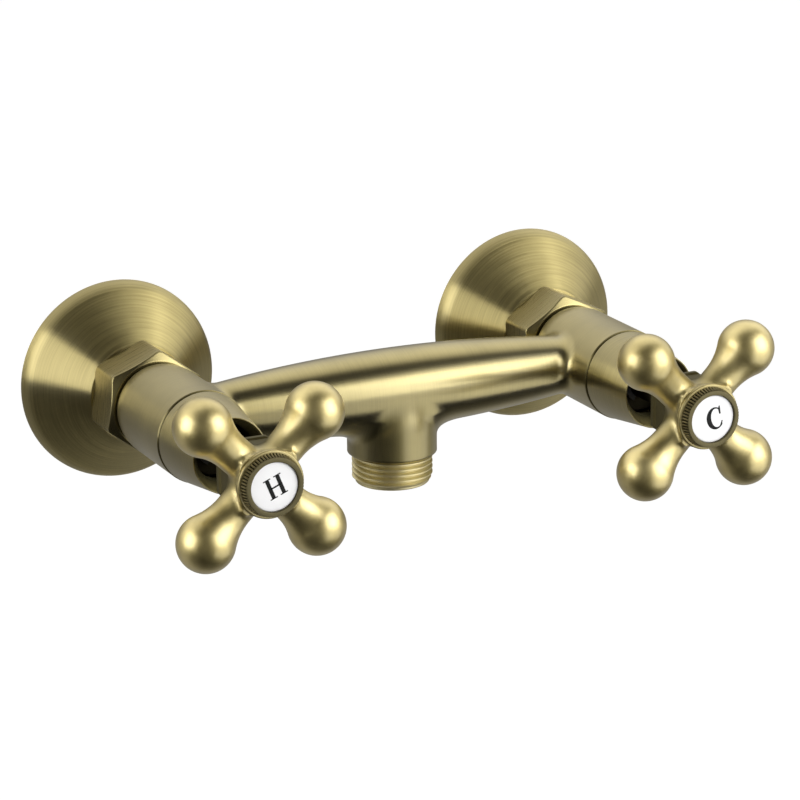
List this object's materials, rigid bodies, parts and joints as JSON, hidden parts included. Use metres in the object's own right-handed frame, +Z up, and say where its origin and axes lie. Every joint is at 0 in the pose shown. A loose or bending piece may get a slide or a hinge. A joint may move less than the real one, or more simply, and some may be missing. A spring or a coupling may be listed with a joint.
{
  "type": "wall mounted two handle shower mixer",
  "caption": "Exposed shower mixer for wall mounting, with a bowed bridge between hot and cold branches, cross handles, cone flanges and a threaded outlet underneath.",
  "frame": {"origin": "midway between the axes of the two supply threads, on the finished wall", "axes": "+X towards the cold side, +Y into the wall, +Z up; the user stands on the -Y side"},
  "size_m": [0.2164, 0.1487, 0.0664],
  "materials": {
    "body_brass": "satin antique",
    "flange_brass": "brushed antique",
    "nut_brass": "brushed antique",
    "sleeve_brass": "satin antique",
    "handle_brass": "soft polished antique",
    "bare_brass": "machined",
    "headwork_brass": "machined",
    "ring_bronze": "dark antique",
    "index_porcelain": "glazed",
    "disc_ceramic": "lapped",
    "seal_rubber": "matte",
    "fibre_rubber": "matte",
    "spring_steel": "plain",
    "screw_steel": "plain"
  },
  "bodies": {
    "mixer": {"mixer_body": "body_brass", "outlet_nipple": "bare_brass", "hot_wall_connector": "bare_brass", "cold_wall_connector": "bare_brass", "hot_wall_flange": "flange_brass", "cold_wall_flange": "flange_brass", "hot_union_nut": "nut_brass", "cold_union_nut": "nut_brass", "hot_inlet_gasket": "fibre_rubber", "cold_inlet_gasket": "fibre_rubber", "hot_inlet_tail": "bare_brass", "cold_inlet_tail": "bare_brass", "hot_headwork_body": "headwork_brass", "cold_headwork_body": "headwork_brass", "hot_headwork_washer": "fibre_rubber", "cold_headwork_washer": "fibre_rubber", "hot_seat_seal": "seal_rubber", "cold_seat_seal": "seal_rubber", "hot_fixed_disc": "disc_ceramic", "cold_fixed_disc": "disc_ceramic", "hot_sleeve": "sleeve_brass", "cold_sleeve": "sleeve_brass"},
    "hot_valve_handle": {"hot_cross_handle": "handle_brass", "hot_handle_screw": "screw_steel", "hot_index_ring": "ring_bronze", "hot_index_disc": "index_porcelain", "hot_spindle": "bare_brass", "hot_spindle_orings": "seal_rubber", "hot_retaining_clip": "spring_steel", "hot_moving_disc": "disc_ceramic"},
    "cold_valve_handle": {"cold_cross_handle": "handle_brass", "cold_handle_screw": "screw_steel", "cold_index_ring": "ring_bronze", "cold_index_disc": "index_porcelain", "cold_spindle": "bare_brass", "cold_spindle_orings": "seal_rubber", "cold_retaining_clip": "spring_steel", "cold_moving_disc": "disc_ceramic"}
  },
  "joints": [
    {"name": "hot_handle_turn", "type": "hinge", "parent": "mixer", "child": "hot_valve_handle", "pos_m": [-0.075, -0.0528, 0.01], "axis": [0, -1, 0], "range_deg": [0, 180]},
    {"name": "cold_handle_turn", "type": "hinge", "parent": "mixer", "child": "cold_valve_handle", "pos_m": [0.075, -0.0528, 0.01], "axis": [0, -1, 0], "range_deg": [0, 180]}
  ]
}
